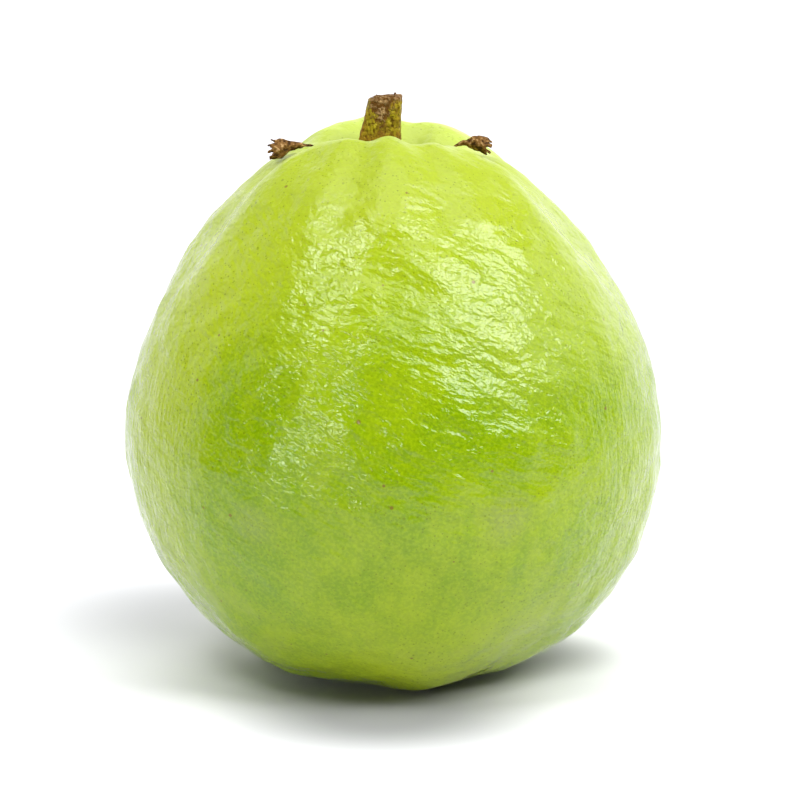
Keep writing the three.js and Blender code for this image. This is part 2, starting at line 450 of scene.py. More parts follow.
def pucker_group() -> bpy.types.NodeTree:
    """Make the fine pucker of a leathery skin, whose wrinkles bend and join.

    Returns:
        A group with Vector, Size, Swirl and Swirl Size in metres, which puts out a Height from 0 to 1.
    """
    inputs = {"Size": 0.0008, "Swirl": 0.0006, "Swirl Size": 0.004}
    sheet, given, result = new_group("Pucker", inputs, "Height")
    drift = sheet.noise(given["Vector"], given["Swirl Size"], 1.0)
    centred = sheet.vector("SUBTRACT", drift.outputs["Color"], (0.5, 0.5, 0.5))
    moved = sheet.vector("MULTIPLY_ADD", centred, given["Swirl"], given["Vector"])
    sheet.feed(result, sheet.noise(moved, given["Size"], 2.0, 0.55).outputs[0])
    return sheet.tree


@dataclass(frozen=True)
class Mottle:
    """Soft patches: their size, the noise where they start and where they are full, and their detail."""

    size: float
    start: float
    full: float
    detail: float = 2.0


@dataclass(frozen=True)
class Flecks:
    """Round flecks: their spacing, their radius as a share of it, and the share of places that have one."""

    spacing: float
    radius: float
    present: float


@dataclass(frozen=True)
class Pucker:
    """Wrinkles: their size, how far they swirl and how wide the swirls are."""

    size: float
    swirl: float
    swirl_size: float


Effects = dict[type, bpy.types.NodeTree]


def shared_effects() -> Effects:
    """Build the node groups that the finishes share, one for each kind of pattern."""
    return {Mottle: mottle_group(), Flecks: fleck_group(), Pucker: pucker_group()}


@dataclass(frozen=True)
class Spot:
    """One mark or tint round a point, with its strength in the middle."""

    at: Point
    radius: float
    strength: float


@dataclass
class Surface:
    """A material in the making, whose patterns lie in the object's own coordinates."""

    name: str
    colour: Value
    effects: Effects = field(default_factory=dict)
    material: bpy.types.Material = field(init=False)
    sheet: Sheet = field(init=False)
    shader: bpy.types.Node = field(init=False)
    place: Socket = field(init=False)

    def __post_init__(self) -> None:
        """Start the material, its shader and its coordinates."""
        self.material = bpy.data.materials.new(self.name)
        self.material.use_nodes = True
        self.sheet = Sheet(self.material.node_tree)
        self.shader = self.material.node_tree.nodes["Principled BSDF"]
        self.place = self.sheet.add("TexCoord").outputs["Object"]

    def squeezed(self, scale: Point, slant: float = 0.0) -> Socket:
        """Squeeze or draw out the patterns along the axes.

        Args:
            scale: what each coordinate is multiplied by. Below 1 draws a pattern out that way.
            slant: how far the pattern's own X axis is turned down from the level, in radians.

        Returns:
            The new coordinates' socket.
        """
        turned = self.sheet.add("VectorRotate", rotation_type="Y_AXIS")
        self.sheet.feed(turned.inputs["Vector"], self.place)
        turned.inputs["Angle"].default_value = -slant
        return self.sheet.vector("MULTIPLY", turned.outputs[0], scale)

    def lay(self, look: Mottle | Flecks | Pucker, place: Socket | None = None) -> Socket:
        """Lay a pattern on the surface.

        Args:
            look: the pattern's measures, named as its group's inputs are.
            place: its coordinates, if they aren't the object's own.

        Returns:
            The socket of its mask or height.
        """
        node = self.sheet.add("Group")
        node.node_tree = self.effects[type(look)]
        self.sheet.feed(node.inputs["Vector"], self.place if place is None else place)
        for name, value in asdict(look).items():
            node.inputs[name.replace("_", " ").title()].default_value = value
        return node.outputs[0]

    def near(self, spot: Spot, core: float) -> Socket:
        """Mask a spot, which is at full strength out to a share of its radius."""
        away = self.sheet.distance(self.place, spot.at)
        return self.sheet.ease(away, spot.radius * core, spot.radius, spot.strength, 0.0)

    def tint(self, share: Value, colour: Value) -> None:
        """Lay a share of a colour over the colour so far."""
        self.colour = self.sheet.blend(share, self.colour, colour)

    def tint_spots(self, spots: tuple[Spot, ...], core: float, colour: Colour) -> None:
        """Lay a colour over spots."""
        for spot in spots:
            self.tint(self.near(spot, core), colour)

    def finish(self, roughness: Value, specular: float, relief: Socket | None = None) -> bpy.types.Material:
        """Wire the shader up.

        Args:
            roughness: the roughness or its socket.
            specular: how strongly the surface mirrors, the same all over.
            relief: the socket of the surface's height in millimetres, if it has one.

        Returns:
            The material.
        """
        self.sheet.feed(self.shader.inputs["Base Color"], self.colour)
        self.sheet.feed(self.shader.inputs["Roughness"], roughness)
        self.shader.inputs["Specular IOR Level"].default_value = specular
        if relief is not None:
            bump = self.sheet.add("Bump")
            bump.inputs["Distance"].default_value = MM
            self.sheet.feed(bump.inputs["Height"], relief)
            self.sheet.feed(self.shader.inputs["Normal"], bump.outputs[0])
        return self.material


# ---------- the finishes ----------


@dataclass(frozen=True)
class SkinFinish:
    """The skin of a green guava: waxy and glossy, finely puckered, mottled and flecked."""

    deep: Colour = (0.150, 0.260, 0.0005, 1)
    light: Colour = (0.234, 0.331, 0.0040, 1)
    yellow: Colour = (0.324, 0.390, 0.0160, 1)
    bright: Colour = (0.355, 0.471, 0.0060, 1)
    # Painted light: a paler green laid into the hollow round the stem, whose walls lie in shade.
    hollow: Colour = (0.396, 0.493, 0.0650, 1)
    # pale is a painted sheen: a paler, bluer green that stands in for reflected light on the skin.
    pale: Colour = (0.296, 0.372, 0.0500, 1)
    dull: Colour = (0.214, 0.274, 0.0450, 1)
    dark_fleck: Colour = (0.13, 0.17, 0.0, 1)
    brown_fleck: Colour = (0.16, 0.085, 0.01, 1)
    patches: Mottle = Mottle(9 * MM, 0.36, 0.64)
    patch_scale: Point = (1.0, 1.0, 0.5)
    patch_share: float = 0.48
    small_patches: Mottle = Mottle(2.97 * MM, 0.34, 0.66, 2.5)
    small_patch_share: float = 0.32
    least_light: float = 0.35
    bands: Mottle = Mottle(5 * MM, 0.48, 0.68)
    band_scale: Point = (1.0, 1.0, 0.3)
    band_heights: Ramp = (36 * MM, 58 * MM, 0.6, 0.1)
    yellow_heights: Ramp = (50 * MM, 94 * MM, 0.0, 0.8)
    hollow_at: Point = mm(2, 9, 94)
    hollow_reach: Ramp = (13 * MM, 19 * MM, 1.0, 0.0)
    mealy: Mottle = Mottle(0.55 * MM, 0.38, 0.66)
    mealy_share: float = 0.3
    crowds: Mottle = Mottle(22 * MM, 0.35, 0.6, 1.0)
    small_flecks: Flecks = Flecks(2.1 * MM, 0.105, 0.5)
    small_fleck_share: Pair = (0.45, 0.25)
    pores: Flecks = Flecks(0.7 * MM, 0.2, 0.8)
    pore_share: Pair = (0.3, 0.45)
    large_flecks: Flecks = Flecks(4.6 * MM, 0.06, 0.7)
    large_fleck_share: float = 0.8
    deep_core: float = 0.2
    tint_core: float = 0.1
    scar_core: float = 0.5
    waves: Pucker = Pucker(*mm(0.78, 1.4, 6))
    wave_scale: Point = (0.6, 0.65, 1.0)
    wave_slant: float = math.radians(22)
    wave_top: Ramp = (68 * MM, 90 * MM, 0.225, 0.18)
    wave_foot: Ramp = (16 * MM, 33 * MM, 0.4, 1.0)
    lumps: Pucker = Pucker(*mm(3.1, 3, 12))
    lump_scale: Point = (0.42, 0.55, 1.0)
    lump_slant: float = math.radians(24)
    lump_depth: float = 4.0
    streaks: Pucker = Pucker(*mm(0.8, 0.8, 6))
    streak_scale: Point = (1.0, 1.0, 0.13)
    streak_sides: Ramp = (26 * MM, 41 * MM, 0.0, 0.32)
    streak_heights: Ramp = (50 * MM, 74 * MM, 1.0, 0.0)
    grain: Pucker = Pucker(*mm(0.45, 0.4, 2))
    grain_depth: float = 0.05
    roughness: Ramp = (79 * MM, 92 * MM, 0.07, 0.33)
    smears: Mottle = Mottle(5 * MM, 0.35, 0.65, 1.0)
    smear_roughness: float = 0.1
    gloss: float = 0.40
    flesh_weight: float = 0.12
    flesh_radius: Point = (0.9, 1.0, 0.25)
    flesh_depth: float = 2.5 * MM
    # Deeper green places: partly the skin's own deeper patches, partly painted shade where the lights fall
    # too strongly, as at the upper right.
    deep_places: tuple[Spot, ...] = (
        Spot(mm(-24, -40, 46), 27 * MM, 0.6),
        Spot(mm(6, -46, 47), 15 * MM, 0.45),
        Spot(mm(-1, -40, 66), 14 * MM, 0.4),
        Spot(mm(22, -38, 64), 28 * MM, 0.75),
        Spot(mm(-25, -36, 26), 17 * MM, 0.55),
        Spot(mm(5, -32, 14), 11 * MM, 0.4),
    )
    ripe_places: tuple[Spot, ...] = (
        Spot(mm(-33, -24, 76), 20 * MM, 0.7),
        Spot(mm(-41, -24, 48), 22 * MM, 0.45),
        Spot(mm(4, -26, 4), 30 * MM, 0.6),
        Spot(mm(-43, -20, 60), 26 * MM, 0.5),
    )
    # Painted sheen where the skin mirrors its bright surroundings: the upper right, the flanks and the lower
    # right.
    pale_places: tuple[Spot, ...] = (
        Spot(mm(38, -16, 74), 26 * MM, 0.75),
        Spot(mm(25, -37, 66), 20 * MM, 0.45),
        Spot(mm(44, -18, 34), 22 * MM, 0.45),
        Spot(mm(-42, -18, 28), 22 * MM, 0.5),
        Spot(mm(24, -30, 13), 17 * MM, 0.5),
    )
    bruises: tuple[Spot, ...] = (
        Spot(mm(19, -43, 36), 7 * MM, 0.8),
        Spot(mm(-24, -40, 34), 6 * MM, 0.5),
    )
    scars: tuple[Spot, ...] = (
        Spot(mm(-27.6, -38.5, 30.5), 0.7 * MM, 0.9),
        Spot(mm(-47.0, -5, 40.5), 1.0 * MM, 1.0),
        Spot(mm(32.6, -34.5, 55.5), 0.5 * MM, 1.0),
        Spot(mm(9.2, -46, 54.5), 0.6 * MM, 0.9),
        Spot(mm(-5.9, -46, 52.9), 0.6 * MM, 0.8),
        Spot(mm(31.4, -34.5, 65), 0.6 * MM, 0.8),
    )

    def paint(self, skin: Surface, height: Socket) -> None:
        """Paint the skin's greens and yellows, with painted light in the hollow round the stem, painted
        sheen on the pale places and painted shade in part of the deep places.

        Args:
            skin: the skin's surface.
            height: the height above the floor.
        """
        sheet = skin.sheet
        light = sheet.scaled(skin.lay(self.small_patches), self.small_patch_share, self.least_light)
        patches = skin.lay(self.patches, skin.squeezed(self.patch_scale))
        light = sheet.scaled(patches, self.patch_share, light)
        # Deeper green: the skin's own patches, and painted shade where the lights fall too strongly.
        for spot in self.deep_places:
            light = sheet.maths("SUBTRACT", light, skin.near(spot, self.deep_core))
        skin.tint(light, self.light)
        bands = skin.lay(self.bands, skin.squeezed(self.band_scale))
        skin.tint(sheet.product(bands, sheet.ease(height, *self.band_heights)), self.deep)
        skin.tint(sheet.ease(height, *self.yellow_heights), self.yellow)
        skin.tint_spots(self.ripe_places, self.tint_core, self.yellow)
        # Painted sheen: the pale, bluer tint over the places that mirror bright light.
        skin.tint_spots(self.pale_places, self.tint_core, self.pale)
        skin.tint_spots(self.bruises, self.tint_core, self.dull)
        skin.tint(sheet.product(skin.lay(self.mealy), self.mealy_share), self.bright)
        # Painted light: the hollow round the stem is lightened where its walls are shaded.
        from_hollow = sheet.distance(skin.place, self.hollow_at)
        skin.tint(sheet.ease(from_hollow, *self.hollow_reach), self.hollow)

    def mark(self, skin: Surface) -> None:
        """Put the flecks, the pores and the scars on the skin, most where they crowd.

        Args:
            skin: the skin's surface.
        """
        sheet = skin.sheet
        crowd = skin.lay(self.crowds)
        small = sheet.product(skin.lay(self.small_flecks), sheet.scaled(crowd, *self.small_fleck_share))
        pores = sheet.product(skin.lay(self.pores), sheet.scaled(crowd, *self.pore_share))
        for marks in (small, pores):
            skin.tint(marks, self.dark_fleck)
        skin.tint(sheet.product(skin.lay(self.large_flecks), self.large_fleck_share), self.brown_fleck)
        skin.tint_spots(self.scars, self.scar_core, self.brown_fleck)

    def relief(self, skin: Surface, across: Socket, height: Socket) -> Socket:
        """Wire the skin's relief: slanting waves on lumps, upright streaks on the flanks and a fine grain.

        Args:
            skin: the skin's surface.
            across: the place from left to right.
            height: the height above the floor.

        Returns:
            The socket of the height in millimetres.
        """
        sheet = skin.sheet
        waves = skin.lay(self.waves, skin.squeezed(self.wave_scale, self.wave_slant))
        lumps = skin.lay(self.lumps, skin.squeezed(self.lump_scale, self.lump_slant))
        waves = sheet.scaled(lumps, self.lump_depth, waves)
        waves = sheet.product(waves, sheet.ease(height, *self.wave_top), sheet.ease(height, *self.wave_foot))
        streaks = skin.lay(self.streaks, skin.squeezed(self.streak_scale))
        beside = sheet.ease(sheet.maths("ABSOLUTE", across), *self.streak_sides)
        streaks = sheet.product(streaks, beside, sheet.ease(height, *self.streak_heights))
        return sheet.scaled(skin.lay(self.grain), self.grain_depth, sheet.maths("ADD", waves, streaks))

    def make(self, effects: Effects) -> bpy.types.Material:
        """Make the skin's material.

        Args:
            effects: the shared groups.

        Returns:
            The material.
        """
        skin = Surface("guava_skin", self.deep, effects)
        across, _, height = skin.sheet.split(skin.place)
        self.paint(skin, height)
        self.mark(skin)
        dulled = skin.sheet.ease(height, *self.roughness)
        roughness = skin.sheet.scaled(skin.lay(self.smears), self.smear_roughness, dulled)
        skin.shader.inputs["Subsurface Weight"].default_value = self.flesh_weight
        skin.shader.inputs["Subsurface Radius"].default_value = self.flesh_radius
        skin.shader.inputs["Subsurface Scale"].default_value = self.flesh_depth
        return skin.finish(roughness, self.gloss, self.relief(skin, across, height))


@dataclass(frozen=True)
class StemFinish:
    """The stem's green bark, corky and torn near the cut and dry brown on it."""

    green: Colour = (0.34, 0.27, 0.010, 1)
    olive: Colour = (0.20, 0.145, 0.006, 1)
    shade: Colour = (0.085, 0.040, 0.001, 1)
    glint: Colour = (0.50, 0.42, 0.025, 1)
    rust: Colour = (0.25, 0.11, 0.012, 1)
    cork: Colour = (0.115, 0.050, 0.008, 1)
    fibre: Colour = (0.50, 0.32, 0.14, 1)
    bark_scale: Point = (1.0, 1.0, 0.62)
    blotches: Mottle = Mottle(1.5 * MM, 0.38, 0.62, 4.0)
    streaks: Mottle = Mottle(0.6 * MM, 0.4, 0.62, 3.0)
    rusty: Mottle = Mottle(2.6 * MM, 0.5, 0.62, 3.0)
    rusty_share: float = 0.55
    streak_share: float = 0.25
    speckles: Mottle = Mottle(0.6 * MM, 0.46, 0.66, 3.0)
    speckle_share: float = 0.88
    sparks: Mottle = Mottle(0.5 * MM, 0.52, 0.68, 3.0)
    spark_share: float = 0.6
    seam: Ramp = (0.2 * MM, 1.2 * MM, 0.85, 0.0)
    seam_breaks: Ramp = (0.0, 1.0, 0.45, 1.0)
    left_edge: Ramp = (-5.9 * MM, -4.6 * MM, 0.7, 0.0)
    foot: Ramp = (94.5 * MM, 97.5 * MM, 0.7, 0.0)
    torn_at: Point = mm(-2.1, -2.9, 102.4)
    torn_scale: Point = (1.45, 0.8, 0.8)
    torn_reach: Ramp = (1.755 * MM, 2.808 * MM, 1.0, 0.0)
    torn_blotch: float = -0.8 * MM
    torn_streak: float = -0.9 * MM
    cut: Ramp = (101.7 * MM, 102.6 * MM, 0.0, 1.0)
    fibres: Mottle = Mottle(0.65 * MM, 0.42, 0.62, 3.0)
    split: Ramp = (0.3 * MM, 1.0 * MM, 0.9, 0.4)
    speckle_depth: float = -0.12
    streak_depth: float = 0.08
    fibre_depth: float = 0.08
    torn_depth: float = 0.25
    roughness: float = 0.5
    torn_roughness: float = 0.3
    gloss: float = 0.08

    def make(self, effects: Effects) -> bpy.types.Material:
        """Make the stem's material.

        Args:
            effects: the shared groups.

        Returns:
            The material.
        """
        bark = Surface("guava_stem", self.green, effects)
        sheet = bark.sheet
        along = bark.squeezed(self.bark_scale)
        across, _, height = sheet.split(bark.place)
        blotch, streak = bark.lay(self.blotches), bark.lay(self.streaks, along)
        bark.tint(blotch, self.olive)
        rusty = sheet.product(streak, self.streak_share)
        bark.tint(sheet.scaled(bark.lay(self.rusty, along), self.rusty_share, rusty), self.rust)
        speckle = bark.lay(self.speckles)
        bark.tint(sheet.product(speckle, self.speckle_share), self.shade)
        bark.tint(sheet.product(bark.lay(self.sparks, along), self.spark_share), self.glint)
        off_middle = sheet.maths("ABSOLUTE", sheet.maths("SUBTRACT", across, self.torn_at[0]))
        seam = sheet.product(sheet.ease(off_middle, *self.seam), sheet.ease(streak, *self.seam_breaks))
        bark.tint(seam, self.cork)
        edge = sheet.maths("MAXIMUM", sheet.ease(across, *self.left_edge), sheet.ease(height, *self.foot))
        bark.tint(edge, self.rust)
        centre = tuple(at * scale for at, scale in zip(self.torn_at, self.torn_scale))
        away = sheet.distance(bark.squeezed(self.torn_scale), centre)
        ragged = sheet.scaled(blotch, self.torn_blotch, sheet.scaled(streak, self.torn_streak, away))
        torn = sheet.ease(ragged, *self.torn_reach)
        fibres = bark.lay(self.fibres)
        dry = sheet.blend(sheet.product(fibres, sheet.ease(off_middle, *self.split)), self.cork, self.fibre)
        bark.tint(sheet.maths("MAXIMUM", torn, sheet.ease(height, *self.cut)), dry)
        fine = sheet.scaled(speckle, self.speckle_depth, sheet.product(streak, self.streak_depth))
        rough = sheet.scaled(torn, self.torn_depth, self.fibre_depth)
        relief = sheet.maths("ADD", fine, sheet.product(fibres, rough))
        return bark.finish(sheet.scaled(torn, self.torn_roughness, self.roughness), self.gloss, relief)


@dataclass(frozen=True)
class DriedFinish:
    """The dry, wrinkled brown of a dead bud or calyx, with painted shade in its creases and painted
    highlights on its crests.
    """

    name: str
    # dark is painted shade left in the low places of the wrinkles; tan is a painted highlight on their
    # crests.
    dark: Colour = (0.045, 0.018, 0.002, 1)
    brown: Colour = (0.18, 0.085, 0.018, 1)
    tan: Colour = (0.52, 0.33, 0.14, 1)
    wrinkles: Pucker = Pucker(*mm(0.7, 0.8, 2))
    wrinkle_depth: float = 0.5
    browned: Ramp = (0.36, 0.54, 0.0, 1.0)
    worn: Ramp = (0.56, 0.70, 0.0, 0.8)
    roughness: float = 0.6
    gloss: float = 0.15

    def make(self, effects: Effects) -> bpy.types.Material:
        """Make the dried material.

        Args:
            effects: the shared groups.

        Returns:
            The material.
        """
        dried = Surface(self.name, self.dark, effects)
        folds = dried.lay(self.wrinkles)
        # Painted shade and highlight: the wrinkles' low places stay dark, their middles turn brown and their
        # crests turn tan.
        dried.tint(dried.sheet.ease(folds, *self.browned), self.brown)
        dried.tint(dried.sheet.ease(folds, *self.worn), self.tan)
        return dried.finish(self.roughness, self.gloss, dried.sheet.product(folds, self.wrinkle_depth))


# ---------- the guava ----------


class Part:
    """A sub-assembly whose one piece stands for a node of the frame."""

    node: str
    slot: str
    levels: int
    reliefs: tuple[Relief, ...]

    def round_off(self, piece: Piece) -> None:
        """Subdivide the piece and press its reliefs in.

        Args:
            piece: the piece, out of edit mode.
        """
        subdivide(piece, self.levels)
        for relief in self.reliefs:
            press(piece, relief)

    def dress(self, piece: Piece, material: bpy.types.Material) -> None:
        """Give the piece its finish and its place in the frame.

        Args:
            piece: the finished mesh.
            material: its material.
        """
        piece.data.materials.clear()
        piece.data.materials.append(material)
        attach(piece, ROOT)
        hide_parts(self.node)


@dataclass(frozen=True)
class Hump:
    """A place where the skin is lifted, or pressed down where the lift is below zero."""

    at: Point
    radius: float
    lift: float


@dataclass
class Fruit(Part):
    """The fruit itself, one body of skin and flesh, with the small lumps and dents of its skin."""

    node: str = "fruit"
    slot: str = "skin"
    levels: int = 2
    reliefs: tuple[Relief, ...] = (
        Relief(spacing=16 * MM, depth=1.3 * MM, shift=mm(20.4, 28.0, 66.0)),
        Relief(spacing=6 * MM, depth=0.7 * MM, shift=mm(-13.7, -78.1, -4.2)),
    )
    humps: tuple[Hump, ...] = (
        Hump(mm(-9.3, -11.5, 95.6), 7.0 * MM, 0.9 * MM),
        Hump(mm(-2.4, -14.0, 96.4), 5.5 * MM, 0.6 * MM),
        Hump(mm(13.8, -10.3, 94.9), 7.0 * MM, -0.85 * MM),
        Hump(mm(4.9, -13.0, 95.2), 4.0 * MM, 0.45 * MM),
        Hump(mm(17.2, -18.5, 5.0), 11.5 * MM, -1.05 * MM),
        Hump(mm(-6.2, 14.5, 96.6), 6.0 * MM, 0.8 * MM),
        Hump(mm(1.4, 14.8, 97.7), 5.0 * MM, -0.8 * MM),
        Hump(mm(6.4, 13.3, 96.2), 6.0 * MM, 0.6 * MM),
    )

    def build(self) -> Piece:
        """Round off a copy of the fruit's solid and press the skin's lumps into it.

        Returns:
            The fruit, no point of which is below the floor.
        """
        piece = bpy.data.objects.new("guava_fruit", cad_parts[self.node].data.copy())
        bpy.context.scene.collection.objects.link(piece)
        only(piece)
        edit(True)
        bpy.ops.mesh.select_all(action="SELECT")
        bpy.ops.mesh.remove_doubles(threshold=0.01 * MM)
        bpy.ops.mesh.tris_convert_to_quads(face_threshold=math.radians(60), shape_threshold=math.radians(80))
        edit(False)
        self.round_off(piece)
        for vertex in piece.data.vertices:
            vertex.co.z = max(vertex.co.z + self.lift(vertex.co), 0.0)
        soften(piece, math.radians(180))
        return piece

    def lift(self, point: Vector) -> float:
        """Add up how far the humps lift a point of the skin.

        Args:
            point: the point.

        Returns:
            The lift, below zero where the skin is pressed down.
        """
        total = 0.0
        for hump in self.humps:
            share = (point - Vector(hump.at)).length / hump.radius
            if share < 1:
                total += hump.lift * (1 - share * share) ** 2
        return total


@dataclass(frozen=True)
class StemSection:
    """One section of the stem: its share of the height, its half widths and its middle."""

    share: float
    across: float
    deep: float
    middle: float


@dataclass
class Stem(Part):
    """The stem stub: a squarish green stalk, flared at its foot and torn off at its top."""

    node: str = "stem"
    slot: str = "stem"
    levels: int = 3
    sections: tuple[StemSection, ...] = (
        StemSection(0.0, *mm(4.0, 3.7, -2.2)),
        StemSection(0.2, *mm(4.0, 3.4, -2.45)),
        StemSection(0.36, *mm(3.85, 3.2, -2.5)),
        StemSection(0.5, *mm(3.65, 3.1, -2.38)),
        StemSection(0.66, *mm(3.4, 3.0, -2.02)),
        StemSection(0.82, *mm(3.12, 3.0, -1.72)),
        StemSection(0.93, *mm(2.9, 3.0, -1.46)),
    )
    block_share: float = 0.08
    corner: float = 1.5 * MM
    sink: float = 0.5 * MM
    bark: float = 0.7 * MM
    pith: float = 0.6 * MM
    pit: float = 0.5 * MM
    break_steps: Pair = (0.6, 0.1)
    break_start: float = 0.2
    break_width: float = 6 * MM
    break_slope: float = 0.5
    break_drop: float = 0.1
    jags: float = 0.35
    jags_per_mm: float = 0.9
    jag_noise: tuple[float, float, int] = (0.8, 2.0, 3)
    chip_start: float = 1.45 * MM
    chip: float = 1.1 * MM
    reliefs: tuple[Relief, ...] = (
        Relief(spacing=2.2 * MM, depth=0.55 * MM, stretch=(1, 1, 2.5)),
        Relief(spacing=0.9 * MM, depth=0.3 * MM, lump=Lump.CREASED, stretch=(1, 1, 2.5)),
    )

    def build(self) -> Piece:
        """Draw the stem up out of a rounded block, section by section, then tear its top.

        Returns:
            The stem.
        """
        low, high = (Vector(corner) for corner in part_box(self.node))
        foot, tall = low.z - self.sink, high.z - low.z + self.sink
        depth_middle = (low.y + high.y) / 2
        last = self.sections[0]
        block = tall * self.block_share
        deselect()
        bpy.ops.mesh.primitive_cube_add(size=1, location=(last.middle, depth_middle, foot + block / 2))
        piece = bpy.context.object
        piece.name = "guava_stem"
        piece.scale = (last.across * 2, last.deep * 2, block)
        settle(piece)
        self.round_corners(piece)
        height = foot + block
        pick_faces(piece, lambda face: face.normal.z > 0.9)
        for section in self.sections[1:]:
            to = foot + tall * section.share
            extrude(Vector((section.middle - last.middle, 0, to - height)))
            growth = (section.across / last.across, section.deep / last.deep, 1)
            centre = Vector((section.middle, depth_middle, to))
            bpy.ops.transform.resize(value=growth, center_override=tuple(centre))
            height, last = to, section
        self.tear(piece, Vector((last.middle, depth_middle, height)), high.z)
        self.round_off(piece)
        soften(piece)
        return piece

    def round_corners(self, piece: Piece) -> None:
        """Bevel the block's four upright edges, and stay in edit mode.

        Args:
            piece: the block.
        """
        edit(True)
        bpy.ops.mesh.select_mode(type="EDGE")
        bpy.ops.mesh.select_all(action="DESELECT")
        edit(False)
        points = piece.data.vertices
        for edge in piece.data.edges:
            a, b = (points[k].co for k in edge.vertices)
            edge.select = abs(a.z - b.z) > abs(a.x - b.x) + abs(a.y - b.y)
        edit(True)
        bpy.ops.mesh.bevel(offset=self.corner, offset_type="OFFSET", segments=3, affect="EDGES")

    def tear(self, piece: Piece, centre: Vector, top: float) -> None:
        """Finish the top as a rough slanting break with a sunken middle, and leave edit mode.

        Args:
            piece: the stem in edit mode, with its top face picked.
            centre: the middle of the top face.
            top: the height of the break's high side.
        """
        rise = top - centre.z
        outer, inner = (rise * share for share in self.break_steps)
        for up, width in ((outer, self.bark), (inner, self.bark), (-self.pit, self.pith)):
            extrude(Vector((0, 0, up)))
            inset(width)
        edit(False)
        for vertex in piece.data.vertices:
            point = vertex.co
            lift = max(0.0, (point.z - centre.z - rise * self.break_start) / rise)
            slant = self.break_slope * (point.x - centre.x) / self.break_width - self.break_drop
            rough = self.jags * fractal(point / MM * self.jags_per_mm, *self.jag_noise)
            point.z += min(lift, 1.0) * rise * (slant + rough)
            chipped = max(0.0, centre.x - self.chip_start - point.x) / self.chip_start
            point.z -= min(lift * 2, 1.0) * min(chipped, 1.0) * self.chip


@dataclass(frozen=True)
class BudSection:
    """One section of a dried bud: its middle and its radius."""

    at: Point
    radius: float


@dataclass(frozen=True)
class Sepal:
    """One ragged sepal: its turn round the mouth, its length and its splay.

    The turn is in degrees, from the back over the top.
    """

    turn: float
    length: float
    splay: float


@dataclass
class DriedBud(Part):
    """A flower bud that dried up on its stalk: a wrinkled funnel whose mouth is a ring of ragged sepals."""

    node: str
    sections: tuple[BudSection, ...]
    sepals: tuple[Sepal, ...]
    slot: str = "dried"
    levels: int = 2
    around: int = 20
    rim: float = 0.3
    cup: float = 1.1 * MM
    cup_steps: tuple[Pair, ...] = ((0.6, 0.8), (0.4, 0.5))
    rim_slack: float = 0.25 * MM
    rim_facing: float = 0.7
    sepal_width: float = 2.4
    sepal_root: float = 0.85
    sepal_steps: tuple[Pair, ...] = ((0.45, 0.95), (0.35, 0.85), (0.2, 0.7))
    reliefs: tuple[Relief, ...] = (
        Relief(spacing=1.5 * MM, depth=0.6 * MM),
        Relief(spacing=0.7 * MM, depth=0.36 * MM, lump=Lump.CREASED, stretch=(2.2, 1, 1)),
    )

    def pitch(self, way: Vector) -> float:
        """Work out how far a way dips from the level, turned right-handed about +Y."""
        return math.atan2(-way.z, abs(way.x)) * math.copysign(1, way.x)

    def build(self) -> Piece:
        """Draw the bud out along its sections, open its mouth and pull the sepals out of its rim.

        Returns:
            The bud.
        """
        route = [Vector(section.at) for section in self.sections]
        way = route[1] - route[0]
        pitch = self.pitch(way)
        radius = self.sections[0].radius
        upright = math.copysign(math.pi / 2, way.x)
        deselect()
        bpy.ops.mesh.primitive_circle_add(
            vertices=self.around,
            radius=radius,
            fill_type="NGON",
            location=route[0],
            rotation=(0, upright + pitch, 0),
        )
        piece = bpy.context.object
        piece.name = "guava_" + self.node
        settle(piece)
        edit(True)
        bpy.ops.mesh.select_all(action="SELECT")
        ahead = [*route[2:], route[-1]]
        for here, there, beyond, section in zip(route, route[1:], ahead, self.sections[1:]):
            extrude(there - here)
            way = (beyond - here).normalized()
            tip(self.pitch(way) - pitch, there)
            pitch = self.pitch(way)
            swell(section.radius / radius, there)
            radius = section.radius
        self.open_mouth(route[-1], way)
        for sepal in self.sepals:
            self.draw_sepal(piece, sepal, route[-1], way)
        edit(False)
        self.round_off(piece)
        soften(piece)
        return piece

    def open_mouth(self, centre: Vector, out: Vector) -> None:
        """Sink a cup into the end, whose face is picked.

        Args:
            centre: the middle of the end face.
            out: the way that the bud points.
        """
        inset(self.sections[-1].radius * self.rim)
        bottom = centre
        for share, narrowing in self.cup_steps:
            step = out * -self.cup * share
            extrude(step)
            bottom = bottom + step
            swell(narrowing, bottom)

    def draw_sepal(self, piece: Piece, sepal: Sepal, centre: Vector, out: Vector) -> None:
        """Draw one sepal out of the rim round the cup.

        Args:
            piece: the bud in edit mode.
            sepal: the sepal's measures.
            centre: the middle of the mouth.
            out: the way that the bud points.
        """
        across = Vector((0, 1, 0))
        up = (Vector((0, 0, 1)) - out * out.z).normalized()
        middle = math.radians(sepal.turn)
        half = math.pi / self.around * self.sepal_width

        def in_sepal(face: bpy.types.MeshPolygon) -> bool:
            """Say whether a face of the rim belongs to this sepal.

            Args:
                face: the face.

            Returns:
                Whether it lies flat on the rim, close enough to the sepal's middle.
            """
            arm = face.center - centre
            flat = abs(arm.dot(out)) <= self.rim_slack and abs(face.normal.dot(out)) >= self.rim_facing
            return flat and within(math.atan2(arm.dot(up), arm.dot(across)), middle, half)

        if not pick_faces(piece, in_sepal):
            return
        spread = across * math.cos(middle) + up * math.sin(middle)
        end = centre + spread * self.sections[-1].radius * self.sepal_root
        for share, narrowing in self.sepal_steps:
            step = (out + spread * sepal.splay) * sepal.length * share
            extrude(step)
            end = end + step
            swell(narrowing, end)


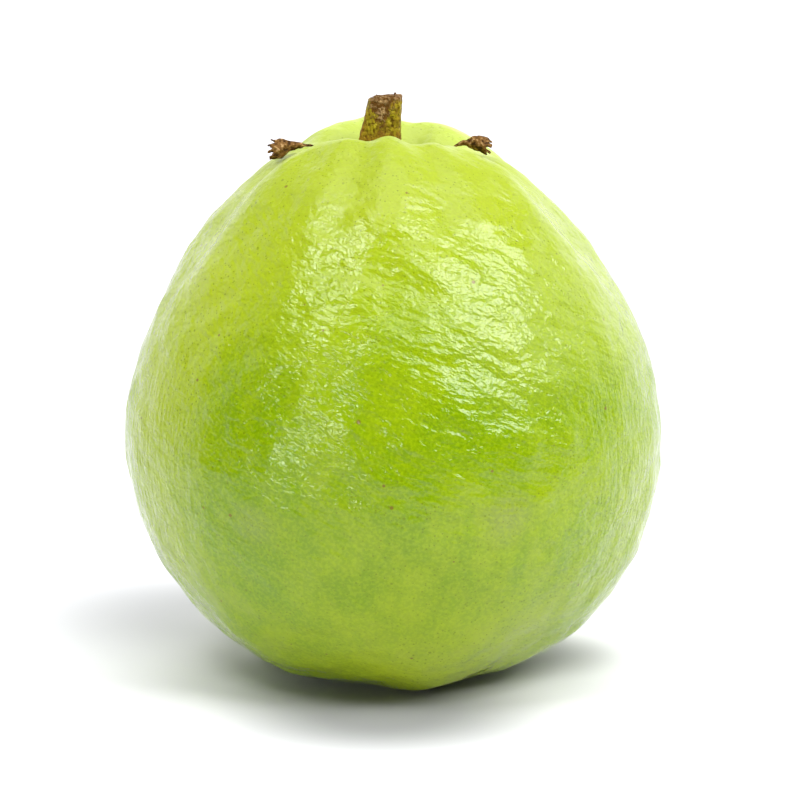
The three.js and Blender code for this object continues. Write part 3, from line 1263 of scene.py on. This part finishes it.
@dataclass
class Calyx(Part):
    """The flower's remains in the eye of the fruit: dry sepals round a disc with the stub of the style."""

    node: str = "calyx"
    slot: str = "dried"
    levels: int = 2
    around: int = 40
    disc: float = 4.2 * MM
    disc_depth: float = 0.8 * MM
    disc_flare: float = 1.25
    edge_depth: float = 0.4 * MM
    eye_steps: tuple[Pair, ...] = (mm(0.9, 0.5), mm(1.4, 0.2))
    rim_slack: float = 0.15 * MM
    rim_facing: float = -0.7
    sepals: int = 5
    sepal_drift: float = 0.12
    sepal_fill: Pair = (0.72, 0.9)
    sepal_root: float = 0.88
    sepal_length: float = 2.6 * MM
    sepal_growth: Pair = (0.8, 1.1)
    sepal_droop: float = 0.55
    sepal_steps: tuple[Point, ...] = ((0.4, 0.92, 1.1), (0.35, 0.8, 0.7), (0.25, 0.55, -0.1))
    clearance: float = 0.3 * MM
    style_length: float = 1.6 * MM
    style_radius: float = 0.45 * MM
    stamens: int = 26
    stamen_length: Pair = mm(0.9, 1.7)
    stamen_radius: float = 0.16 * MM
    stamen_ring: Pair = mm(2.3, 2.9)
    stamen_drift: float = 0.1
    stamen_lean: float = 0.35
    stamen_taper: float = 0.55
    stamen_root: float = 0.5 * MM
    seed: int = 11
    reliefs: tuple[Relief, ...] = (
        Relief(spacing=2.4 * MM, depth=0.7 * MM),
        Relief(spacing=0.9 * MM, depth=0.3 * MM, lump=Lump.CREASED),
    )

    def build(self) -> Piece:
        """Turn the disc, draw the sepals down and out of its edge and stand the style in its middle.

        Returns:
            The calyx.
        """
        low, high = (Vector(corner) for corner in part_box(self.node))
        top = Vector(((low.x + high.x) / 2, (low.y + high.y) / 2, high.z))
        deselect()
        bpy.ops.mesh.primitive_circle_add(
            vertices=self.around,
            radius=self.disc / self.disc_flare,
            fill_type="NGON",
            location=top,
            rotation=(math.pi, 0, 0),
        )
        piece = bpy.context.object
        settle(piece)
        edit(True)
        bpy.ops.mesh.select_all(action="SELECT")
        extrude(DOWN * self.disc_depth)
        swell(self.disc_flare, top + DOWN * self.disc_depth)
        extrude(DOWN * self.edge_depth)
        mouth = top + DOWN * (self.disc_depth + self.edge_depth)
        for width, depth in self.eye_steps:
            inset(width)
            extrude(DOWN * -depth)
        self.draw_sepals(piece, mouth, low.z)
        edit(False)
        self.round_off(piece)
        soften(piece)
        return join([piece, *self.style(mouth)], "guava_calyx")

    def draw_sepals(self, piece: Piece, mouth: Vector, lowest: float) -> None:
        """Draw the sepals out of the disc's edge, each with its own length and curl.

        Args:
            piece: the calyx in edit mode.
            mouth: the middle of the disc's lower face.
            lowest: the height that no sepal goes below.
        """
        draw = random.Random(self.seed)
        for k in range(self.sepals):
            middle = 2 * math.pi * (k + draw.uniform(-self.sepal_drift, self.sepal_drift)) / self.sepals
            half = math.pi / self.sepals * draw.uniform(*self.sepal_fill)
            outward = Vector((math.cos(middle), math.sin(middle), 0))

            def in_sepal(face: bpy.types.MeshPolygon) -> bool:
                """Say whether a face of the disc's edge belongs to this sepal.

                Args:
                    face: the face.

                Returns:
                    Whether it lies flat on the edge, close enough to the sepal's middle.
                """
                arm = face.center - mouth
                flat = abs(arm.z) <= self.rim_slack and face.normal.z <= self.rim_facing
                return flat and within(math.atan2(arm.y, arm.x), middle, half)

            if not pick_faces(piece, in_sepal):
                continue
            length = self.sepal_length * draw.uniform(*self.sepal_growth)
            end = mouth + outward * self.disc * self.sepal_root
            for share, narrowing, lean in self.sepal_steps:
                step = (DOWN * self.sepal_droop + outward * lean).normalized() * length * share
                step.z = max(step.z, lowest + self.clearance - end.z)
                extrude(step)
                end = end + step
                swell(narrowing, end)

    def style(self, mouth: Vector) -> list[Piece]:
        """Make the dry stub of the style, which comes first, and the ring of stamens round it.

        Args:
            mouth: the middle of the disc's lower face.

        Returns:
            The pieces, still apart.
        """
        draw = random.Random(self.seed + 1)
        drift, lean = self.stamen_drift, self.stamen_lean
        made = []
        for k in range(self.stamens + 1):
            turn = 2 * math.pi * k / self.stamens + draw.uniform(-drift, drift)
            length = draw.uniform(*self.stamen_length) if k else self.style_length
            radius = self.stamen_radius if k else self.style_radius
            out = draw.uniform(*self.stamen_ring) if k else 0.0
            root = self.stamen_root - length / 2
            centre = mouth + Vector((math.cos(turn) * out, math.sin(turn) * out, root))
            deselect()
            bpy.ops.mesh.primitive_cone_add(
                vertices=7,
                radius1=radius * self.stamen_taper,
                radius2=radius,
                depth=length,
                location=centre,
                rotation=(draw.uniform(-lean, lean), draw.uniform(-lean, lean), 0),
            )
            thread = bpy.context.object
            settle(thread)
            subdivide(thread, 1)
            soften(thread)
            made.append(thread)
        return made


LEFT_BUD = DriedBud(
    "bud_left",
    (
        BudSection(mm(-7.4, -0.3, 90.4), 0.50 * MM),
        BudSection(mm(-10.0, -0.3, 91.8), 0.45 * MM),
        BudSection(mm(-12.6, -0.6, 93.3), 0.35 * MM),
        BudSection(mm(-14.5, -1.0, 94.3), 0.34 * MM),
        BudSection(mm(-15.8, -1.1, 94.2), 0.46 * MM),
        BudSection(mm(-17.2, -1.2, 94.1), 0.80 * MM),
        BudSection(mm(-18.5, -1.3, 94.0), 1.25 * MM),
        BudSection(mm(-19.6, -1.3, 93.8), 1.75 * MM),
        BudSection(mm(-20.7, -1.3, 93.5), 1.72 * MM),
    ),
    (
        Sepal(92, 0.5 * MM, 1.0),
        Sepal(38, 1.5 * MM, 0.1),
        Sepal(140, 1.0 * MM, 0.2),
        Sepal(182, 1.7 * MM, 0.0),
        Sepal(226, 1.6 * MM, 0.1),
        Sepal(270, 1.1 * MM, 0.1),
        Sepal(320, 1.1 * MM, 0.1),
    ),
)

RIGHT_BUD = DriedBud(
    "bud_right",
    (
        BudSection(mm(5.8, -0.4, 90.4), 0.45 * MM),
        BudSection(mm(7.8, -0.8, 91.8), 0.40 * MM),
        BudSection(mm(9.6, -1.5, 93.3), 0.34 * MM),
        BudSection(mm(11.0, -2.0, 94.4), 0.32 * MM),
        BudSection(mm(11.9, -2.3, 94.7), 0.38 * MM),
        BudSection(mm(12.8, -2.5, 94.8), 0.70 * MM),
        BudSection(mm(13.6, -2.6, 94.8), 1.15 * MM),
        BudSection(mm(14.5, -2.6, 94.9), 1.60 * MM),
        BudSection(mm(15.4, -2.6, 94.5), 1.60 * MM),
        BudSection(mm(16.2, -2.6, 94.1), 1.50 * MM),
    ),
    (
        Sepal(60, 0.5 * MM, 0.3),
        Sepal(110, 0.6 * MM, 0.2),
        Sepal(155, 0.9 * MM, 0.2),
        Sepal(200, 1.1 * MM, 0.1),
        Sepal(245, 0.8 * MM, 0.1),
        Sepal(300, 0.7 * MM, 0.2),
    ),
)


# ---------- the stage ----------


@dataclass(frozen=True)
class Softbox:
    """A soft oblong light, by the way it is seen from the fruit and how far away it is."""

    name: str
    toward: Point
    width: float
    height: float
    power: float
    away: float = 0.9
    mirrored: bool = True

    def place(self, target: Vector) -> None:
        """Make the light and turn it to the fruit.

        Args:
            target: the point that it shines on.
        """
        way = Vector(self.toward).normalized()
        bpy.ops.object.light_add(type="AREA", location=target + way * self.away)
        lamp = bpy.context.object
        lamp.name = self.name
        lamp.rotation_euler = way.to_track_quat("Z", "Y").to_euler()
        lamp.data.shape = "RECTANGLE"
        lamp.data.size = self.width
        lamp.data.size_y = self.height
        lamp.data.energy = self.power
        lamp.visible_glossy = self.mirrored


@dataclass
class Studio:
    """The pale floor, the softboxes, the white tent round them and the camera."""

    aim: Point = mm(1.07, 0.0, 48.6)
    elevation: float = math.radians(10)
    distance: float = 0.75
    lens: float = 189.6
    roof: Ramp = (0.85, 0.95, 0.0, 2.6)
    wall: Ramp = (0.55, 0.75, 1.9, 0.0)
    wall_depths: Ramp = (-0.3, 0.25, 0.0, 1.0)
    wall_sides: Ramp = (-0.6, 0.6, 0.65, 0.8)
    front: Ramp = (-0.1, 0.2, 0.9, 0.0)
    front_depths: Ramp = (-0.6, -0.1, 1.0, 0.0)
    front_mirrored: float = 0.3
    floor_reach: float = 7.0
    floor_edge: float = -0.16
    floor_colour: Colour = (0.765, 0.768, 0.80, 1)
    floor_roughness: float = 0.9
    floor_gloss: float = 0.1
    shade_colour: Colour = (0.02, 0.021, 0.022, 1)
    shade_core: float = 0.2
    shade_mirrored: float = 0.4
    shades: tuple[Spot, ...] = (
        Spot(mm(-2, -36, 0), 36 * MM, 0.62),
        Spot(mm(0, 0, 0), 46 * MM, 0.35),
        Spot(mm(-30, 40, 0), 52 * MM, 0.42),
        Spot(mm(24, 10, 0), 24 * MM, 0.5),
    )
    softboxes: tuple[Softbox, ...] = (
        Softbox("softbox_left", (-0.41, -0.43, 0.80), 0.26, 0.24, 2.75),
        Softbox("softbox_low", (-0.55, -0.82, 0.14), 0.25, 0.16, 1.86),
        Softbox("softbox_right", (0.61, -0.40, 0.68), 0.47, 0.42, 7.05),
        Softbox("softbox_high", (0.26, -0.53, 0.81), 0.22, 0.19, 1.26),
        Softbox("softbox_back", (0.0, 0.81, 0.59), 6.5, 1.4, 98.0, 3.0, False),
    )

    def floor(self) -> None:
        """Lay the floor: a part under the fruit, and a part in front that the glossy skin doesn't mirror."""
        pale = Surface("studio_floor", self.floor_colour)
        ray = pale.sheet.add("LightPath").outputs
        seen = pale.sheet.scaled(ray["Is Glossy Ray"], self.shade_mirrored, ray["Is Camera Ray"])
        for shade in self.shades:
            pale.tint(pale.sheet.product(pale.near(shade, self.shade_core), seen), self.shade_colour)
        material = pale.finish(self.floor_roughness, self.floor_gloss)
        halves = (
            ("studio_floor", self.floor_edge, self.floor_reach, True),
            ("studio_floor_front", -self.floor_reach, self.floor_edge, False),
        )
        for name, near, far, mirrored in halves:
            deselect()
            bpy.ops.mesh.primitive_plane_add(size=1, location=(0, (near + far) / 2, 0))
            ground = bpy.context.object
            ground.name = name
            ground.scale = (self.floor_reach * 2, far - near, 1)
            settle(ground)
            ground.visible_glossy = mirrored
            ground.data.materials.append(material)

    def surroundings(self) -> None:
        """Put up a white tent, with a bright roof, a dimmer wall behind and a glow low in front."""
        world = bpy.data.worlds.new("white_tent")
        bpy.context.scene.world = world
        world.use_nodes = True
        sheet = Sheet(world.node_tree)
        across, depth, rise = sheet.split(sheet.add("TexCoord").outputs["Generated"])
        ray = sheet.add("LightPath").outputs
        roof = sheet.ease(rise, *self.roof)
        wall = sheet.product(sheet.ease(rise, *self.wall), sheet.ease(depth, *self.wall_depths))
        wall = sheet.product(wall, sheet.ease(across, *self.wall_sides))
        front = sheet.product(sheet.ease(rise, *self.front), sheet.ease(depth, *self.front_depths))
        front = sheet.product(front, sheet.ease(ray["Is Glossy Ray"], 0.0, 1.0, 1.0, self.front_mirrored))
        light = sheet.maths("ADD", sheet.maths("ADD", roof, wall), front)
        background = world.node_tree.nodes["Background"]
        sheet.feed(background.inputs["Strength"], sheet.maths("MAXIMUM", light, ray["Is Camera Ray"]))
        background.inputs["Color"].default_value = (1, 1, 1, 1)

    def camera(self) -> None:
        """Place the camera at its distance and height, aimed at the fruit."""
        back = Vector((0, -math.cos(self.elevation), math.sin(self.elevation)))
        bpy.ops.object.camera_add(location=Vector(self.aim) + back * self.distance)
        camera = bpy.context.object
        camera.rotation_euler = back.to_track_quat("Z", "Y").to_euler()
        camera.data.lens = self.lens
        camera.data.sensor_width = 36
        camera.data.clip_start = 0.01
        camera.data.clip_end = 50
        bpy.context.scene.camera = camera

    def build(self) -> None:
        """Set up the whole studio."""
        self.floor()
        self.surroundings()
        self.camera()
        for softbox in self.softboxes:
            softbox.place(Vector(self.aim))
        bpy.context.scene.view_settings.view_transform = "Standard"


def main() -> None:
    """Build the guava and its studio, and log the number of faces of each piece."""
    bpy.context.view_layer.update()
    Studio().build()
    effects = shared_effects()
    dried_bud = DriedFinish("guava_dried_bud").make(effects)
    parts = (
        (Fruit(), SkinFinish().make(effects)),
        (Stem(), StemFinish().make(effects)),
        (LEFT_BUD, dried_bud),
        (RIGHT_BUD, dried_bud),
        (Calyx(), DriedFinish("guava_dried_calyx", brown=(0.20, 0.12, 0.045, 1)).make(effects)),
    )
    for part, material in parts:
        piece = part.build()
        part.dress(piece, material)
        log.info("%s: %d faces", piece.name, len(piece.data.polygons))


if __name__ == "__main__":
    logging.basicConfig(level=logging.INFO, format="%(message)s")
    main()
